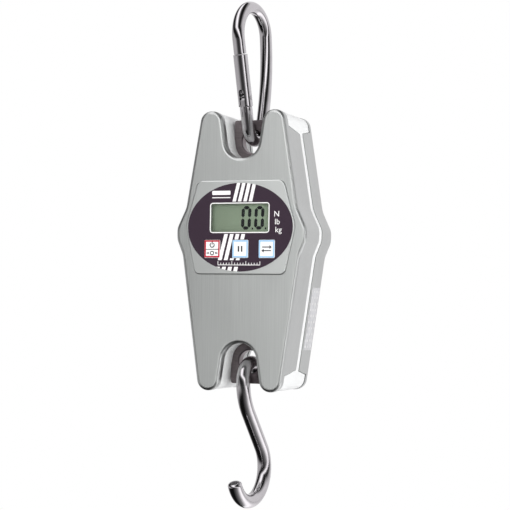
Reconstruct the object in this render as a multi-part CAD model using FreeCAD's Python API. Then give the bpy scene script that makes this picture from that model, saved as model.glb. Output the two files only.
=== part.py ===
import FreeCAD, Part
import math
import os

# ---------------------------------------------------------------- driving dimensions (mm)
# Housing frame: X to the right, Y from the front face to the back, Z up, zero at mid height.
HALF_HEIGHT = 78.5
DEPTH = 46.4
SHEET = 1.0                 # stainless cover thickness
RIM = 4.8                   # rim depth of each cover at lobes and notches
RIM_ROUND = 2.0
SEAM = 0.8                  # gasket height between rim and core
CORE_GAP = 0.05             # between cover sheet and core wall
CORE_STEP = 0.8            # core edges stand this far back from the round inside the covers' edges
CORE_WALL = 3.0
CORE_FLUSH = 0.3            # white core sits this far inside the cover outline
# right half of the outline from the top notch to the bottom notch: x, z, corner radius
HALF_OUTLINE = [
    (8.75, 51.7, 10.0), (12.8, HALF_HEIGHT, 6.5), (24.6, HALF_HEIGHT, 6.5),
    (33.5, 24.0, 14.0), (38.9, 12.4, 9.0), (38.7, 6.0, 9.0), (35.2, -2.5, 14.0),
    (24.4, -HALF_HEIGHT, 6.5), (12.8, -HALF_HEIGHT, 6.5), (8.75, -51.7, 10.0)]
FRONT_FLANGE = (23.0, 69.3, 66.3)      # y of free edge, |z| at the rim, |z| at the free edge
REAR_FLANGE = (28.6, 69.8, 67.3)
FLANGE_X = 21.0                        # flanges exist only outside this half width
STRIP = (24.0, 28.2)                   # y range of the white strip between the flanges

PAD_HEIGHT = 1.2            # embossed display field stands this far out of the face
PAD_OUTLINE = [(25.6, 39.0, 4.0), (32.7, 14.0, 10.0), (26.7, -13.5, 3.5)]
FILM = 0.25                 # keypad film thickness
OVAL_CENTRE = (0.2, 12.8)
OVAL_AXES = (31.2, 24.7)
LCD_OPENING = (17.2, 10.1, 26.0)       # half width, bottom z, top z
LCD_FRAME = 1.1                        # printed frame around the window

KEY_SIZE = (9.4, 9.9)
KEY_CENTRES = {"key_power": -16.1, "key_hold": 0.7, "key_unit": 16.4}
KEY_Z = 0.7
KEY_GAP = 0.25
KEY_PROUD = 0.2
KEY_TRAVEL = 0.4
KEY_STEM = 5.0

CELL_X = 11.0               # load cell half width
CELL_Y = (17.5, 24.5)
CELL_Z = 74.8
EYE_Z = 62.5
EYE_R = 6.5
GAUGE_HOLE_Z = 11.0
GAUGE_HOLE_R = 5.0

BOARD_Y = (6.0, 7.6)
BOARD_X = 24.0
BOARD_Z = (-30.0, 35.5)

AA_R = 7.2
AA_LENGTH = 50.5
AA_X = 8.1
AA_Y = 35.2
TRAY = (18.0, 26.2, 44.6, 32.0)        # half width, front y, back y, half height
TRAY_WALL = 1.5
DOOR = (18.2, 37.7)                    # half width, half height
DOOR_GAP = 0.3
DOOR_SCREW_Z = 34.9

HEAD = 0.9                  # height of the screw heads on the back
BOSS_R = 4.4
HOUSING_SCREWS = [(18.6, 66.5), (-18.6, 66.5), (18.6, -66.5), (-18.6, -66.5), (31.3, 9.2), (-31.3, 9.2)]

# The carabiner and the hook lie in one upright plane through the load cell's middle.
LOAD_PLANE_DEG = 82.0       # direction of the plane seen from above, from +X
LOAD_Y = 0.5 * (CELL_Y[0] + CELL_Y[1])

WIRE_R = 3.5
BIG_ARC = (-5.0, 122.5, 16.3)          # along the plane, height, radius
SMALL_ARC = (-0.3, 71.5, 8.0)
BACK_BOW_R = 130.0
BACK_BOW_START_DEG = 8.0
GATE_R = 4.0
GATE_FROM_TANGENT = (12.5, 42.0)       # gate ends measured up the front leg
PIVOT_FROM_TANGENT = 17.5
GATE_GAP = 0.4
TONGUE = 2.6
GATE_SLOT = 3.2
SLOT_TOP = 3.5              # above the pivot
TONGUE_NOSE_R = 2.6         # round end of the tongue, about the pivot
PLUNGER = (2.75, 9.5)       # from and to, above the pivot
RIVET_R = 1.25
SPRING_BORE_R = 2.0

HOOK_R = 4.0
HOOK_EYE_ARC = (0.0, -72.7, 9.5)       # along the plane, height, radius
HOOK_EYE_TAIL_DEG = 14.0
HOOK_RUN = [("arc", 30.0, 38.0), ("line", 26.0), ("arc", -20.0, 38.0), ("arc", -17.4, 90.0),
            ("arc", -19.0, 68.0)]

# Row origin: where the carabiner hangs from its own inner top.
ACROSS = FreeCAD.Vector(math.cos(math.radians(LOAD_PLANE_DEG)), math.sin(math.radians(LOAD_PLANE_DEG)), 0)
UP = FreeCAD.Vector(0, 0, 1)
NORMAL = ACROSS.cross(UP)
LOAD_ORIGIN = FreeCAD.Vector(0, LOAD_Y, 0)


def plane_point(s, z):
    """Point of the load plane, s along it and z up."""
    return LOAD_ORIGIN + ACROSS * s + UP * z


HANG = plane_point(BIG_ARC[0], BIG_ARC[1] + BIG_ARC[2] - WIRE_R)


# ---------------------------------------------------------------- small helpers
def box(x0, x1, y0, y1, z0, z1):
    return Part.makeBox(x1 - x0, y1 - y0, z1 - z0, FreeCAD.Vector(x0, y0, z0))


def cylinder_y(x, z, r, y0, y1):
    return Part.makeCylinder(r, y1 - y0, FreeCAD.Vector(x, y0, z), FreeCAD.Vector(0, 1, 0))


def cylinder_z(x, y, r, z0, z1):
    return Part.makeCylinder(r, z1 - z0, FreeCAD.Vector(x, y, z0), UP)


def rounded_wire(corners, y=0.0):
    """Closed wire through corners (x, z, radius) at depth y, each corner rounded by an arc."""
    count = len(corners)
    edges = []
    first = None
    last = None
    for i, (x, z, r) in enumerate(corners):
        here = FreeCAD.Vector(x, y, z)
        before = FreeCAD.Vector(corners[i - 1][0], y, corners[i - 1][1]) - here
        after = FreeCAD.Vector(corners[(i + 1) % count][0], y, corners[(i + 1) % count][1]) - here
        before.normalize()
        after.normalize()
        half = before.getAngle(after) / 2
        reach = r / math.tan(half)
        start = here + before * reach
        end = here + after * reach
        bisector = (before + after).normalize()
        middle = here + bisector * (r / math.sin(half) - r)
        if last is not None:
            edges.append(Part.makeLine(last, start))
        else:
            first = start
        edges.append(Part.Arc(start, middle, end).toShape())
        last = end
    edges.append(Part.makeLine(last, first))
    return Part.Wire(edges)


def outline_wire(inset=0.0):
    """Housing outline moved inwards by inset (outwards when negative), at y = 0."""
    right = list(HALF_OUTLINE)
    left = [(-x, z, r) for x, z, r in reversed(right)]
    wire = rounded_wire(right + left)
    if inset == 0.0:
        return wire
    moved = Part.Face(wire).makeOffset2D(-inset, join=0)
    return moved.Wires[0]


def slab(wire, y0, y1):
    """Solid prism of a wire drawn at y = 0, from y0 to y1."""
    face = Part.Face(wire)
    face.translate(FreeCAD.Vector(0, y0, 0))
    return face.extrude(FreeCAD.Vector(0, y1 - y0, 0))


def ring(outer, inner, y0, y1):
    """Wall between two insets of the outline."""
    return slab(outline_wire(outer), y0, y1).cut(slab(outline_wire(inner), y0 - 1, y1 + 1))


def side_profile(points):
    """Prisms left and right of the notches from (y, z) points, used to trim side flanges."""
    corners = [FreeCAD.Vector(FLANGE_X, y, z) for y, z in points]
    face = Part.Face(Part.makePolygon(corners + [corners[0]]))
    right = face.extrude(FreeCAD.Vector(40, 0, 0))
    return right.fuse(right.mirror(FreeCAD.Vector(0, 0, 0), FreeCAD.Vector(1, 0, 0)))


def rectangle(x0, x1, z0, z1, r):
    return rounded_wire([(x0, z0, r), (x0, z1, r), (x1, z1, r), (x1, z0, r)])


def round_edges_at(shape, y, radius):
    """Fillet every edge that lies wholly at depth y."""
    edges = [e for e in shape.Edges if all(abs(v.Y - y) < 1e-6 for v in e.Vertexes)
             and abs(e.BoundBox.YMin - y) < 1e-6 and abs(e.BoundBox.YMax - y) < 1e-6]
    return shape.makeFillet(radius, edges)


def oval_wire(grow=0.0):
    ellipse = Part.Ellipse(FreeCAD.Vector(0, 0, 0), OVAL_AXES[0] + grow, OVAL_AXES[1] + grow)
    shape = ellipse.toShape()
    shape.rotate(FreeCAD.Vector(0, 0, 0), FreeCAD.Vector(1, 0, 0), 90)
    shape.translate(FreeCAD.Vector(OVAL_CENTRE[0], 0, OVAL_CENTRE[1]))
    return Part.Wire([shape])


def key_wire(name, grow=0.0):
    x = KEY_CENTRES[name]
    half_x = KEY_SIZE[0] / 2 + grow
    half_z = KEY_SIZE[1] / 2 + grow
    return rectangle(x - half_x, x + half_x, KEY_Z - half_z, KEY_Z + half_z, 0.6 + max(grow, 0))


def window_wire(grow=0.0):
    half, low, high = LCD_OPENING
    return rectangle(-half - grow, half + grow, low - grow, high + grow, 1.0 + max(grow, 0))


def coil(x, y, z0, z1, radius, wire_r, turns):
    """Compression coil along Z."""
    path = Part.makeHelix((z1 - z0 - 2 * wire_r) / turns, z1 - z0 - 2 * wire_r, radius)
    start = Part.Circle(FreeCAD.Vector(radius, 0, 0), FreeCAD.Vector(0, 1, 0), wire_r).toShape()
    solid = Part.Wire(path.Edges).makePipeShell([Part.Wire([start])], True, True)
    solid.translate(FreeCAD.Vector(x, y, z0 + wire_r))
    return solid


def pan_head_screw(x, z, shank_r, length):
    """Cross-recessed pan head screw driven into the back of the housing."""
    head = round_edges_at(cylinder_y(x, z, 2.6, DEPTH, DEPTH + HEAD), DEPTH + HEAD, 0.4)
    shape = head.fuse(cylinder_y(x, z, shank_r, DEPTH - length, DEPTH + 0.1))
    shape = shape.cut(box(x - 1.5, x + 1.5, DEPTH + 0.35, DEPTH + 2, z - 0.3, z + 0.3))
    return shape.cut(box(x - 0.3, x + 0.3, DEPTH + 0.35, DEPTH + 2, z - 1.5, z + 1.5))


# ---------------------------------------------------------------- housing shells
def pad_wire(grow=0.0):
    right = list(PAD_OUTLINE)
    left = [(-x, z, r) for x, z, r in reversed(right)]
    wire = rounded_wire(right + left)
    if grow == 0.0:
        return wire
    return Part.Face(wire).makeOffset2D(grow, join=0).Wires[0]


def pan(front):
    """Shallow sheet pan with a rounded rim; the rear one is its mirror image."""
    outer = round_edges_at(slab(outline_wire(), 0, RIM), 0, RIM_ROUND)
    inner = round_edges_at(slab(outline_wire(SHEET), SHEET, RIM + 1), SHEET, RIM_ROUND - SHEET)
    shape = outer.cut(inner)
    if not front:
        shape = shape.mirror(FreeCAD.Vector(0, DEPTH / 2, 0), FreeCAD.Vector(0, 1, 0))
    return shape


def front_flange_profile(grow=0.0):
    edge, rim_z, free_z = FRONT_FLANGE
    top = [(RIM - 0.5 - grow, rim_z + grow), (edge + grow, free_z + grow)]
    return side_profile(top + [(y, -z) for y, z in reversed(top)])


def rear_flange_profile(grow=0.0):
    edge, rim_z, free_z = REAR_FLANGE
    top = [(edge - grow, free_z + grow), (DEPTH - RIM + 0.5 + grow, rim_z + grow)]
    return side_profile(top + [(y, -z) for y, z in reversed(top)])


def front_cover():
    shape = pan(True)
    shape = shape.fuse(ring(0.0, SHEET, RIM - 0.5, FRONT_FLANGE[0]).common(front_flange_profile()))
    pad = round_edges_at(slab(pad_wire(), -PAD_HEIGHT, SHEET), -PAD_HEIGHT, 0.6)
    shape = shape.fuse(pad)
    shape = shape.cut(slab(window_wire(), -5, 5))
    for name, x in KEY_CENTRES.items():
        shape = shape.cut(slab(key_wire(name, KEY_GAP), -5, -PAD_HEIGHT + 1.0))
        hole = rectangle(x - KEY_STEM / 2 - 0.4, x + KEY_STEM / 2 + 0.4,
                         KEY_Z - KEY_STEM / 2 - 0.4, KEY_Z + KEY_STEM / 2 + 0.4, 0.8)
        shape = shape.cut(slab(hole, -5, 5))
    return shape.removeSplitter()


def rear_cover():
    shape = pan(False)
    flange = ring(0.0, SHEET, REAR_FLANGE[0], DEPTH - RIM + 0.5)
    shape = shape.fuse(flange.common(rear_flange_profile()))
    half, tall = DOOR[0] + DOOR_GAP, DOOR[1] + DOOR_GAP
    shape = shape.cut(slab(rectangle(-half, half, -tall, tall, 3.0), DEPTH - 3, DEPTH + 3))
    for x, z in HOUSING_SCREWS:
        shape = shape.cut(cylinder_y(x, z, 1.6, DEPTH - 3, DEPTH + 1))
    return shape.removeSplitter()


def load_bridge(z0, z1):
    """Rib of the core that crosses in front of the load cell."""
    return box(-36, 36, 9.5, CELL_Y[0] - 0.1, z0, z1).common(slab(outline_wire(3.0), 0, DEPTH))


def core_frame():
    deep = SHEET + CORE_GAP
    # the edges are stepped in, clear of the round inside each cover's edge
    shape = ring(deep, deep + CORE_WALL, deep + SHEET, DEPTH - deep - SHEET)
    shape = shape.fuse(ring(deep + CORE_STEP, deep + CORE_WALL, deep, DEPTH - deep))
    band = ring(CORE_FLUSH, deep + 0.5, RIM + SEAM, DEPTH - RIM - SEAM)
    band = band.cut(front_flange_profile(0.6))
    band = band.cut(rear_flange_profile(0.4))
    strip = ring(CORE_FLUSH, deep + 0.5, STRIP[0], STRIP[1])
    shape = shape.fuse(band).fuse(strip)
    shape = shape.fuse(load_bridge(39, 45)).fuse(load_bridge(-45, -39))
    for x, z in HOUSING_SCREWS:
        boss = cylinder_y(x, z, BOSS_R, 30, DEPTH - deep)
        boss = boss.common(slab(outline_wire(deep + CORE_STEP), 0, DEPTH))
        shape = shape.fuse(boss)
    for x, z in HOUSING_SCREWS:
        shape = shape.cut(cylinder_y(x, z, 1.25, DEPTH - 12.5, DEPTH))
    for x in (-6.0, 6.0):
        shape = shape.cut(cylinder_y(x, 42.0, 2.05, 5, 20))
    for side in (-1, 1):
        low, high = sorted((side * 47.0, side * 52.0))
        shape = shape.cut(box(-CELL_X - 1.3, CELL_X + 1.3, CELL_Y[0] - 1.3, CELL_Y[1] + 1.3, low, high))
        low, high = sorted((side * 46.0, side * 82.0))
        shape = shape.cut(box(-CELL_X - 0.15, CELL_X + 0.15, CELL_Y[0] - 0.15, CELL_Y[1] + 0.15, low, high))
    return shape.removeSplitter()


def gasket(front):
    y0 = RIM if front else DEPTH - RIM - SEAM
    shape = ring(0.5, SHEET + CORE_GAP, y0, y0 + SEAM)
    return shape.cut(front_flange_profile(0.2) if front else rear_flange_profile(0.2))


def side_label():
    skin = slab(outline_wire(-0.12), 30.5, 43.9).cut(slab(outline_wire(0.0), 0, DEPTH))
    return skin.common(box(FLANGE_X, 60, 0, DEPTH, -55.5, -20.0))


def housing_screws():
    return Part.Compound([pan_head_screw(x, z, 1.25, 11.0) for x, z in HOUSING_SCREWS])


# ---------------------------------------------------------------- display and keys
def keypad_overlay():
    shape = slab(oval_wire(), -PAD_HEIGHT - FILM, -PAD_HEIGHT)
    shape = shape.common(slab(pad_wire(-0.6), -5, 5))
    shape = shape.cut(slab(window_wire(LCD_FRAME), -5, 5))
    for name in KEY_CENTRES:
        shape = shape.cut(slab(key_wire(name, KEY_GAP), -5, 5))
    return shape


def lcd_frame_trim():
    shape = slab(window_wire(LCD_FRAME), -PAD_HEIGHT - FILM, -PAD_HEIGHT)
    return shape.cut(slab(window_wire(0.0), -5, 5))


def lcd_window():
    return slab(window_wire(-0.05), -PAD_HEIGHT - 0.05, -PAD_HEIGHT + 0.9)


def lcd_glass():
    half, low, high = LCD_OPENING
    return box(-half - 2.2, half + 2.2, 1.2, 3.4, low - 2.4, high + 2.4)


def lcd_holder():
    half, low, high = LCD_OPENING
    outer = box(-half - 3.4, half + 3.4, 1.3, BOARD_Y[0], low - 3.6, high + 3.6)
    pocket = box(-half - 2.3, half + 2.3, 0, 3.5, low - 2.5, high + 2.5)
    back = box(-half + 2, half - 2, 0, 8, low + 1, high - 1)
    return outer.cut(pocket).cut(back)


def key(name):
    x = KEY_CENTRES[name]
    top = -PAD_HEIGHT - FILM - KEY_PROUD
    cap = round_edges_at(slab(key_wire(name), top, -PAD_HEIGHT + 0.5), top, 0.3)
    half = KEY_STEM / 2
    return cap.fuse(box(x - half, x + half, -PAD_HEIGHT + 0.4, 3.2, KEY_Z - half, KEY_Z + half))


def key_switches():
    parts = []
    for x in KEY_CENTRES.values():
        body = box(x - 3, x + 3, 4.4, BOARD_Y[0], KEY_Z - 3, KEY_Z + 3)
        parts.append(body.fuse(cylinder_y(x, KEY_Z, 1.7, 3.75, 4.6)))
    return Part.Compound(parts)


def main_board():
    wire = rectangle(-BOARD_X, BOARD_X, BOARD_Z[0], BOARD_Z[1], 2.0)
    shape = slab(wire, BOARD_Y[0], BOARD_Y[1])
    for x in (-20.5, 20.5):
        for z in (BOARD_Z[0] + 4, BOARD_Z[1] - 4):
            shape = shape.cut(cylinder_y(x, z, 1.3, 0, 20))
    return shape


def board_screws():
    parts = []
    for x in (-20.5, 20.5):
        for z in (BOARD_Z[0] + 4, BOARD_Z[1] - 4):
            shank = cylinder_y(x, z, 1.25, SHEET, BOARD_Y[1] + 0.1)
            parts.append(shank.fuse(cylinder_y(x, z, 2.4, BOARD_Y[1], BOARD_Y[1] + 1.3)))
    return Part.Compound(parts)


def board_chips():
    back = BOARD_Y[1]
    chips = [box(-5, 5, back, back + 1.5, 2, 12), box(10, 15, back, back + 1.6, 4, 10),
             box(-15, -10, back, back + 1.6, -12, -5), box(8, 12, back, back + 1.2, -10, -6)]
    crystal = cylinder_y(-12, 8, 2.0, back, back + 3.0)
    return Part.Compound(chips + [crystal])


def board_connector():
    back = BOARD_Y[1]
    shell = box(-6, 6, back, back + 5, -26, -20)
    return shell.cut(box(-5, 5, back + 1.2, back + 6, -25, -21))


# ---------------------------------------------------------------- load cell
def load_cell():
    wire = rectangle(-CELL_X, CELL_X, -CELL_Z, CELL_Z, 1.2)
    shape = slab(wire, CELL_Y[0], CELL_Y[1])
    for side in (-1, 1):
        shape = shape.cut(cylinder_y(0, side * EYE_Z, EYE_R, 0, 40))
        shape = shape.cut(cylinder_y(0, side * GAUGE_HOLE_Z, GAUGE_HOLE_R, 0, 40))
    shape = shape.cut(box(-1.5, 1.5, 0, 40, -GAUGE_HOLE_Z, GAUGE_HOLE_Z))
    for x in (-6.0, 6.0):
        shape = shape.cut(cylinder_y(x, 42.0, 2.0, 10, CELL_Y[0] + 5))
    rims = [e for e in shape.Edges if e.Closed and abs(e.Curve.Radius - EYE_R) < 1e-6
            and abs(abs(e.Curve.Center.z) - EYE_Z) < 1e-6]
    return shape.makeFillet(0.8, rims)


def load_cell_screws():
    parts = []
    for x in (-6.0, 6.0):
        head = cylinder_y(x, 42.0, 3.5, 6.5, 9.5).cut(cylinder_y(x, 42.0, 1.5, 5, 8.3))
        parts.append(head.fuse(cylinder_y(x, 42.0, 2.0, 9.4, CELL_Y[0] + 4.5)))
    return Part.Compound(parts)


def strain_gauges():
    parts = []
    for side in (-1, 1):
        for z in (-GAUGE_HOLE_Z, GAUGE_HOLE_Z):
            x0, x1 = sorted((side * CELL_X, side * (CELL_X + 0.2)))
            parts.append(box(x0, x1, CELL_Y[0] + 1.5, CELL_Y[1] - 1.5, z - 3.5, z + 3.5))
    return Part.Compound(parts)


def load_cell_seals():
    parts = []
    for side in (-1, 1):
        z0, z1 = sorted((side * 47.8, side * 50.4))
        outer = box(-CELL_X - 1.2, CELL_X + 1.2, CELL_Y[0] - 1.2, CELL_Y[1] + 1.2, z0, z1)
        parts.append(outer.cut(box(-CELL_X, CELL_X, CELL_Y[0], CELL_Y[1], -80, 80)))
    return Part.Compound(parts)


# ---------------------------------------------------------------- battery bay
def battery_tray():
    half, front, back, tall = TRAY
    inner_x, inner_z = half - TRAY_WALL, tall - TRAY_WALL
    shape = box(-half, half, front, back, -tall, tall)
    shape = shape.cut(box(-inner_x, inner_x, front + 1.2, back + 1, -inner_z, inner_z))
    shape = shape.fuse(box(-0.5, 0.5, front + 1, front + 6, -inner_z - 0.5, inner_z + 0.5))
    for side in (-1, 1):
        z0, z1 = sorted((side * (tall - 0.5), side * (tall + 5.6)))
        shape = shape.fuse(box(-5, 5, back - 8, back + 0.7, z0, z1))
        shape = shape.cut(cylinder_y(0, side * DOOR_SCREW_Z, 1.28, back - 7, back + 2))
    return shape.cut(box(-half - 1, half + 1, back, back + 2, -tall, tall))


def battery_cells():
    low = -24.3
    body = cylinder_z(AA_X, AA_Y, AA_R, low, low + AA_LENGTH - 1.2)
    cell = body.fuse(cylinder_z(AA_X, AA_Y, 2.7, low + AA_LENGTH - 1.3, low + AA_LENGTH))
    other = cell.copy()
    other.rotate(FreeCAD.Vector(0, AA_Y, 0), FreeCAD.Vector(0, 1, 0), 180)
    return Part.Compound([cell, other])


def battery_contacts():
    parts = []
    end = TRAY[3] - TRAY_WALL
    for side in (-1, 1):
        for top in (-1, 1):
            x0, x1 = sorted((side * 1.5, side * 15.0))
            z0, z1 = sorted((top * (end - 0.5), top * end))
            plate = box(x0, x1, 30.0, 41.0, z0, z1)
            if side == top:
                z0, z1 = sorted((top * (AA_LENGTH - 24.3 + 0.05), top * (end - 0.4)))
                plate = plate.fuse(cylinder_z(side * AA_X, AA_Y, 2.4, z0, z1))
            parts.append(plate)
    return Part.Compound(parts)


def battery_springs():
    end = TRAY[3] - TRAY_WALL - 0.55
    lower = coil(AA_X, AA_Y, -end, -24.35, 4.2, 0.4, 3)
    upper = coil(-AA_X, AA_Y, 24.35, end, 4.2, 0.4, 3)
    return Part.Compound([lower, upper])


def battery_door():
    half, tall = DOOR
    shape = slab(rectangle(-half, half, -tall, tall, 2.7), DEPTH - SHEET, DEPTH)
    outer_x, outer_z = TRAY[0] - TRAY_WALL - 0.4, TRAY[3] - TRAY_WALL - 0.4
    lip = slab(rectangle(-outer_x, outer_x, -outer_z, outer_z, 1.5), TRAY[2] - 1.0, DEPTH - SHEET + 0.1)
    hole = rectangle(-outer_x + 1.3, outer_x - 1.3, -outer_z + 1.3, outer_z - 1.3, 1.0)
    shape = shape.fuse(lip.cut(slab(hole, 30, DEPTH - SHEET)))
    for side in (-1, 1):
        shape = shape.cut(cylinder_y(0, side * DOOR_SCREW_Z, 1.6, 40, DEPTH + 1))
    return shape


def battery_door_seal():
    half, tall = TRAY[0] - 0.1, TRAY[3] - 0.1
    inner_x, inner_z = TRAY[0] - TRAY_WALL + 0.1, TRAY[3] - TRAY_WALL + 0.1
    outer = box(-half, half, TRAY[2], TRAY[2] + 0.7, -tall, tall)
    return outer.cut(box(-inner_x, inner_x, 40, 50, -inner_z, inner_z))


def battery_door_screws():
    return Part.Compound([pan_head_screw(0, side * DOOR_SCREW_Z, 1.2, 7.0) for side in (-1, 1)])


# ---------------------------------------------------------------- load plane paths
def arc_edge(cs, cz, radius, start_deg, end_deg):
    points = []
    for angle in (start_deg, 0.5 * (start_deg + end_deg), end_deg):
        a = math.radians(angle)
        points.append(plane_point(cs + radius * math.cos(a), cz + radius * math.sin(a)))
    return Part.Arc(*points).toShape()


def on_circle(cs, cz, radius, deg):
    a = math.radians(deg)
    return (cs + radius * math.cos(a), cz + radius * math.sin(a))


def tangent_angle(first, second, side):
    """Direction from both centres to the outer tangent line on one side."""
    ds, dz = second[0] - first[0], second[1] - first[1]
    spread = math.degrees(math.acos((first[2] - second[2]) / math.hypot(ds, dz)))
    return math.degrees(math.atan2(dz, ds)) + side * spread


def bow_circle():
    a = math.radians(BACK_BOW_START_DEG)
    reach = BACK_BOW_R - BIG_ARC[2]
    return (BIG_ARC[0] - reach * math.cos(a), BIG_ARC[1] - reach * math.sin(a), BACK_BOW_R)


FRONT_DEG = tangent_angle(BIG_ARC, SMALL_ARC, -1)
BACK_DEG = tangent_angle(bow_circle(), SMALL_ARC, 1)
FRONT_LOW = on_circle(*SMALL_ARC, FRONT_DEG)
FRONT_HIGH = on_circle(*BIG_ARC, FRONT_DEG)


def carabiner_ring():
    """Closed centre line: front leg, big arc, bowed back leg, small arc."""
    bow = bow_circle()
    edges = [
        Part.makeLine(plane_point(*FRONT_LOW), plane_point(*FRONT_HIGH)),
        arc_edge(*BIG_ARC, FRONT_DEG + 360, BACK_BOW_START_DEG),
        arc_edge(*bow, BACK_BOW_START_DEG, BACK_DEG),
        Part.makeLine(plane_point(*on_circle(*bow, BACK_DEG)), plane_point(*on_circle(*SMALL_ARC, BACK_DEG))),
        arc_edge(*SMALL_ARC, BACK_DEG, FRONT_DEG)]
    return Part.Wire(edges)


def sweep_rod(path, radius):
    edge = path.OrderedEdges[0]
    start = path.OrderedVertexes[0].Point
    tangent = edge.tangentAt(edge.FirstParameter)
    profile = Part.Wire([Part.Circle(start, tangent, radius).toShape()])
    return path.makePipeShell([profile], True, False)


# ---------------------------------------------------------------- carabiner
# Gate frame: pivot at zero, X towards the inside of the carabiner, Z up along the gate.
def gate_placement():
    low, high = plane_point(*FRONT_LOW), plane_point(*FRONT_HIGH)
    along = (high - low).normalize()
    a = math.radians(FRONT_DEG)
    inward = -(ACROSS * math.cos(a) + UP * math.sin(a))
    pivot = low + along * PIVOT_FROM_TANGENT
    return FreeCAD.Placement(pivot, FreeCAD.Rotation(inward, along.cross(inward), along, "XZY"))


GATE_PLACE = gate_placement()
TAIL = PIVOT_FROM_TANGENT - GATE_FROM_TANGENT[0]
REACH = GATE_FROM_TANGENT[1] - PIVOT_FROM_TANGENT


def to_gate(shape):
    moved = shape.copy()
    moved.Placement = GATE_PLACE.multiply(moved.Placement)
    return moved


def across_cylinder(radius, half_width):
    return Part.makeCylinder(radius, 2 * half_width, FreeCAD.Vector(0, -half_width, 0), FreeCAD.Vector(0, 1, 0))


def capped_rod(radius_x, grow):
    """Part of a block or rod between the two end arcs, both centred on the pivot."""
    upper = box(-radius_x, radius_x, -radius_x, radius_x, 0, REACH + grow + 1)
    lower = box(-radius_x, radius_x, -radius_x, radius_x, -TAIL - grow - 1, 0)
    upper = upper.common(across_cylinder(REACH + grow, 20))
    lower = lower.common(across_cylinder(TAIL + grow, 20))
    return upper.fuse(lower).removeSplitter()


def carabiner_frame():
    shape = sweep_rod(carabiner_ring(), WIRE_R).cut(to_gate(capped_rod(7.5, GATE_GAP)))
    half = TONGUE / 2
    tongue = box(-3.3, 3.3, -half, half, -TAIL - GATE_GAP - 2.5, -1.0)
    tongue = tongue.fuse(across_cylinder(TONGUE_NOSE_R, half))
    tongue = tongue.cut(across_cylinder(RIVET_R + 0.05, 10))
    return shape.fuse(to_gate(tongue)).removeSplitter()


def carabiner_gate():
    rod = cylinder_z(0, 0, GATE_R, -TAIL - 2, REACH + 2).common(capped_rod(7.5, 0.0))
    slot = box(-9, 9, -GATE_SLOT / 2, GATE_SLOT / 2, -TAIL - 3, SLOT_TOP)
    crown = Part.makeCylinder(GATE_SLOT / 2, 18, FreeCAD.Vector(-9, 0, SLOT_TOP), FreeCAD.Vector(1, 0, 0))
    rod = rod.cut(slot).cut(crown)
    rod = rod.cut(cylinder_z(0, 0, SPRING_BORE_R, 0, REACH - 4))
    return to_gate(rod.cut(across_cylinder(RIVET_R, 20)))


def gate_pivot_rivet():
    half = math.sqrt(GATE_R ** 2 - RIVET_R ** 2) + 0.25
    pin = across_cylinder(RIVET_R, half)
    return to_gate(pin.makeFillet(0.35, [e for e in pin.Edges if e.Closed]))


def gate_plunger():
    return to_gate(cylinder_z(0, 0, SPRING_BORE_R - 0.15, *PLUNGER))


def gate_spring():
    return to_gate(coil(0, 0, PLUNGER[1] + 0.1, REACH - 4.1, SPRING_BORE_R - 0.5, 0.28, 7))


# ---------------------------------------------------------------- hook
def hook_path():
    """Centre line of the S hook from its hidden rear end to its tip."""
    cs, cz, radius = HOOK_EYE_ARC
    edges = [arc_edge(cs, cz, radius, -HOOK_EYE_TAIL_DEG, 90.0), arc_edge(cs, cz, radius, 90.0, 180.0)]
    s, z, heading = cs - radius, cz, -90.0
    for step in HOOK_RUN:
        h = math.radians(heading)
        if step[0] == "line":
            end = (s + step[1] * math.cos(h), z + step[1] * math.sin(h))
            edges.append(Part.makeLine(plane_point(s, z), plane_point(*end)))
        else:
            bend, turn = step[1], step[2]
            centre = (s - bend * math.sin(h), z + bend * math.cos(h))
            side = 1 if bend > 0 else -1
            start_deg = heading - 90 * side
            edges.append(arc_edge(centre[0], centre[1], abs(bend), start_deg, start_deg + side * turn))
            heading += side * turn
            end = on_circle(centre[0], centre[1], abs(bend), start_deg + side * turn)
        s, z = end
    return Part.Wire(edges)


def hook():
    path = hook_path()
    shape = sweep_rod(path, HOOK_R)
    ends = [path.OrderedVertexes[0].Point, path.OrderedVertexes[-1].Point]
    rims = [e for e in shape.Edges if any((e.CenterOfMass - p).Length < 0.05 for p in ends)]
    return shape.makeFillet(1.2, rims)


# ---------------------------------------------------------------- export
def export(name, shape):
    moved = shape.copy()
    moved.translate(HANG * -1)
    solids = moved.Solids
    if not solids or not moved.isValid():
        raise RuntimeError(name + " is not a valid solid")
    result = solids[0] if len(solids) == 1 else Part.Compound(solids)
    result.exportStep("parts/" + name + ".step")


def main():
    os.makedirs("parts", exist_ok=True)
    export("front_cover", front_cover())
    export("rear_cover", rear_cover())
    export("core_frame", core_frame())
    export("front_gasket", gasket(True))
    export("rear_gasket", gasket(False))
    export("side_label", side_label())
    export("housing_screws", housing_screws())
    export("keypad_overlay", keypad_overlay())
    export("lcd_frame_trim", lcd_frame_trim())
    export("lcd_window", lcd_window())
    export("lcd_glass", lcd_glass())
    export("lcd_holder", lcd_holder())
    for name in KEY_CENTRES:
        export(name, key(name))
    export("key_switches", key_switches())
    export("main_board", main_board())
    export("board_screws", board_screws())
    export("board_chips", board_chips())
    export("board_connector", board_connector())
    export("load_cell", load_cell())
    export("load_cell_screws", load_cell_screws())
    export("load_cell_seals", load_cell_seals())
    export("strain_gauges", strain_gauges())
    export("battery_tray", battery_tray())
    export("battery_cells", battery_cells())
    export("battery_contacts", battery_contacts())
    export("battery_springs", battery_springs())
    export("battery_door", battery_door())
    export("battery_door_seal", battery_door_seal())
    export("battery_door_screws", battery_door_screws())
    export("carabiner_frame", carabiner_frame())
    export("carabiner_gate", carabiner_gate())
    export("gate_pivot_rivet", gate_pivot_rivet())
    export("gate_plunger", gate_plunger())
    export("gate_spring", gate_spring())
    export("hook", hook())


main()
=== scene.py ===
import math

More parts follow.
